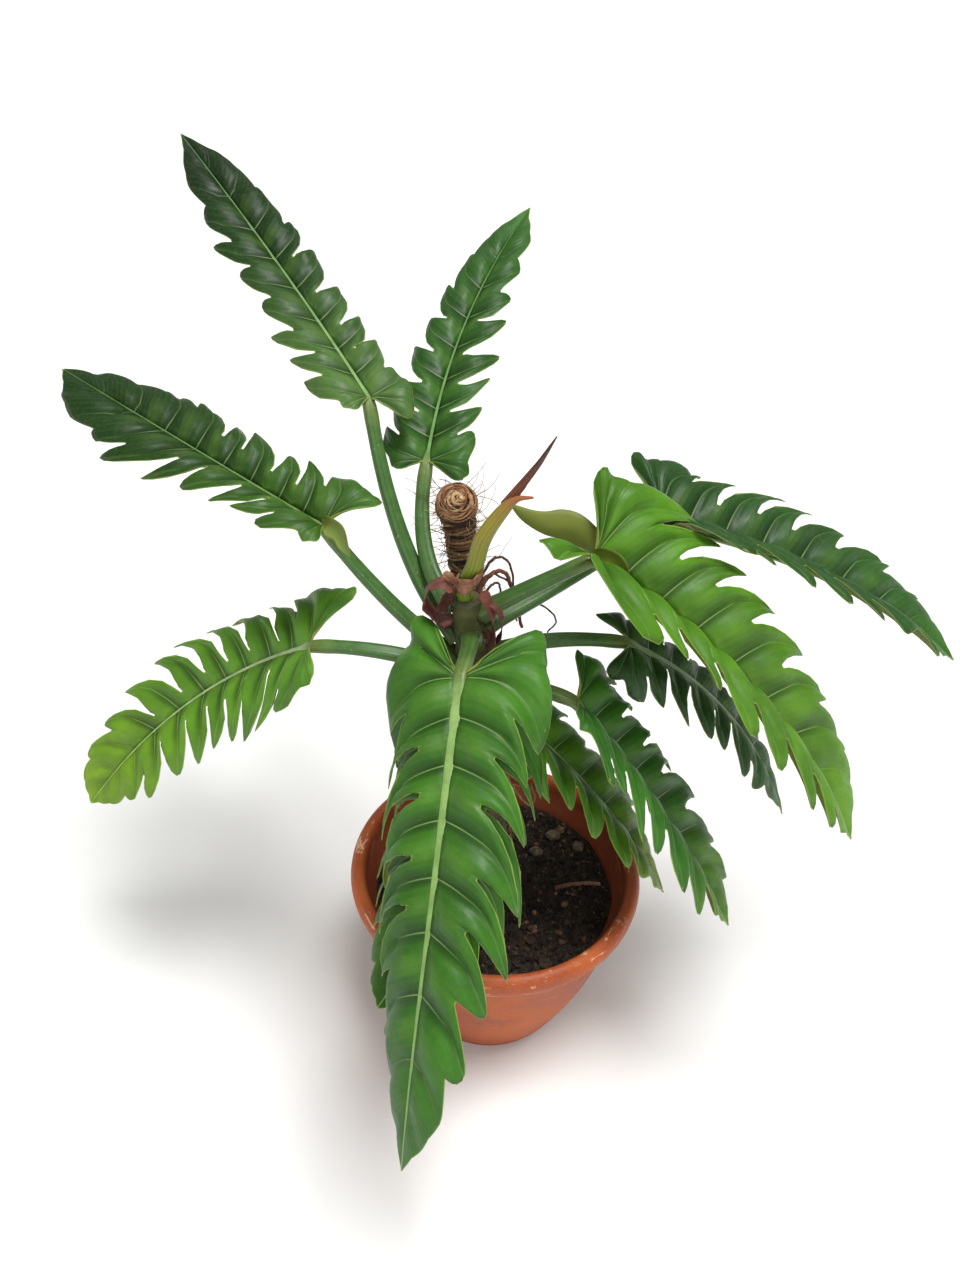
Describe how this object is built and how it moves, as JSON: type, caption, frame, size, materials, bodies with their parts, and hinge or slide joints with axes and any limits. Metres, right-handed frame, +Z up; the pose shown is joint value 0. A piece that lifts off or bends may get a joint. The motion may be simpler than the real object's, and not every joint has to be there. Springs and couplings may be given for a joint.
{
  "type": "potted jungle boogie philodendron",
  "caption": "Round terracotta pot with a stem tied up by a coir pole and long arching leaves with saw-like lobes.",
  "frame": {"origin": "centre of the pot's underside", "axes": "+Z up along the pot's axis, +Y the back, -Y the side the picture is taken from"},
  "size_m": [0.8973, 0.6769, 0.8122],
  "materials": {
    "terracotta": "matte painted terracotta",
    "potting_mix": "matte crumbly",
    "stem_bark": "matte",
    "pole_wood": "matte sawn",
    "coir": "matte fibrous",
    "leaf_green": "satin waxy",
    "fresh_sheath": "satin",
    "new_leaf_purple": "satin",
    "dry_sheath": "matte papery",
    "aerial_root": "matte",
    "pebble_stone": "matte",
    "twig_wood": "matte"
  },
  "bodies": {
    "root": {"pot": "terracotta", "soil": "potting_mix", "stem": "stem_bark", "pole_core": "pole_wood", "pole_wrap": "coir", "leaf_back_tall": "leaf_green", "leaf_back_right": "leaf_green", "leaf_left_upper": "leaf_green", "leaf_left_lower": "leaf_green", "leaf_front_large": "leaf_green", "leaf_right_near": "leaf_green", "leaf_right_back": "leaf_green", "leaf_right_lower": "leaf_green", "leaf_front_right": "leaf_green", "leaf_rim_right": "leaf_green", "leaf_front_lower": "leaf_green", "new_leaf_sheath": "fresh_sheath", "new_leaf_roll": "new_leaf_purple", "dry_sheath_band": "dry_sheath", "dry_sheath_loop": "dry_sheath", "dry_sheath_strip": "dry_sheath", "dry_sheath_shred": "dry_sheath", "root_1": "aerial_root", "root_2": "aerial_root", "root_3": "aerial_root", "root_4": "aerial_root", "root_5": "aerial_root", "pebble_1": "pebble_stone", "pebble_2": "pebble_stone", "pebble_3": "pebble_stone", "twig": "twig_wood"}
  },
  "joints": []
}
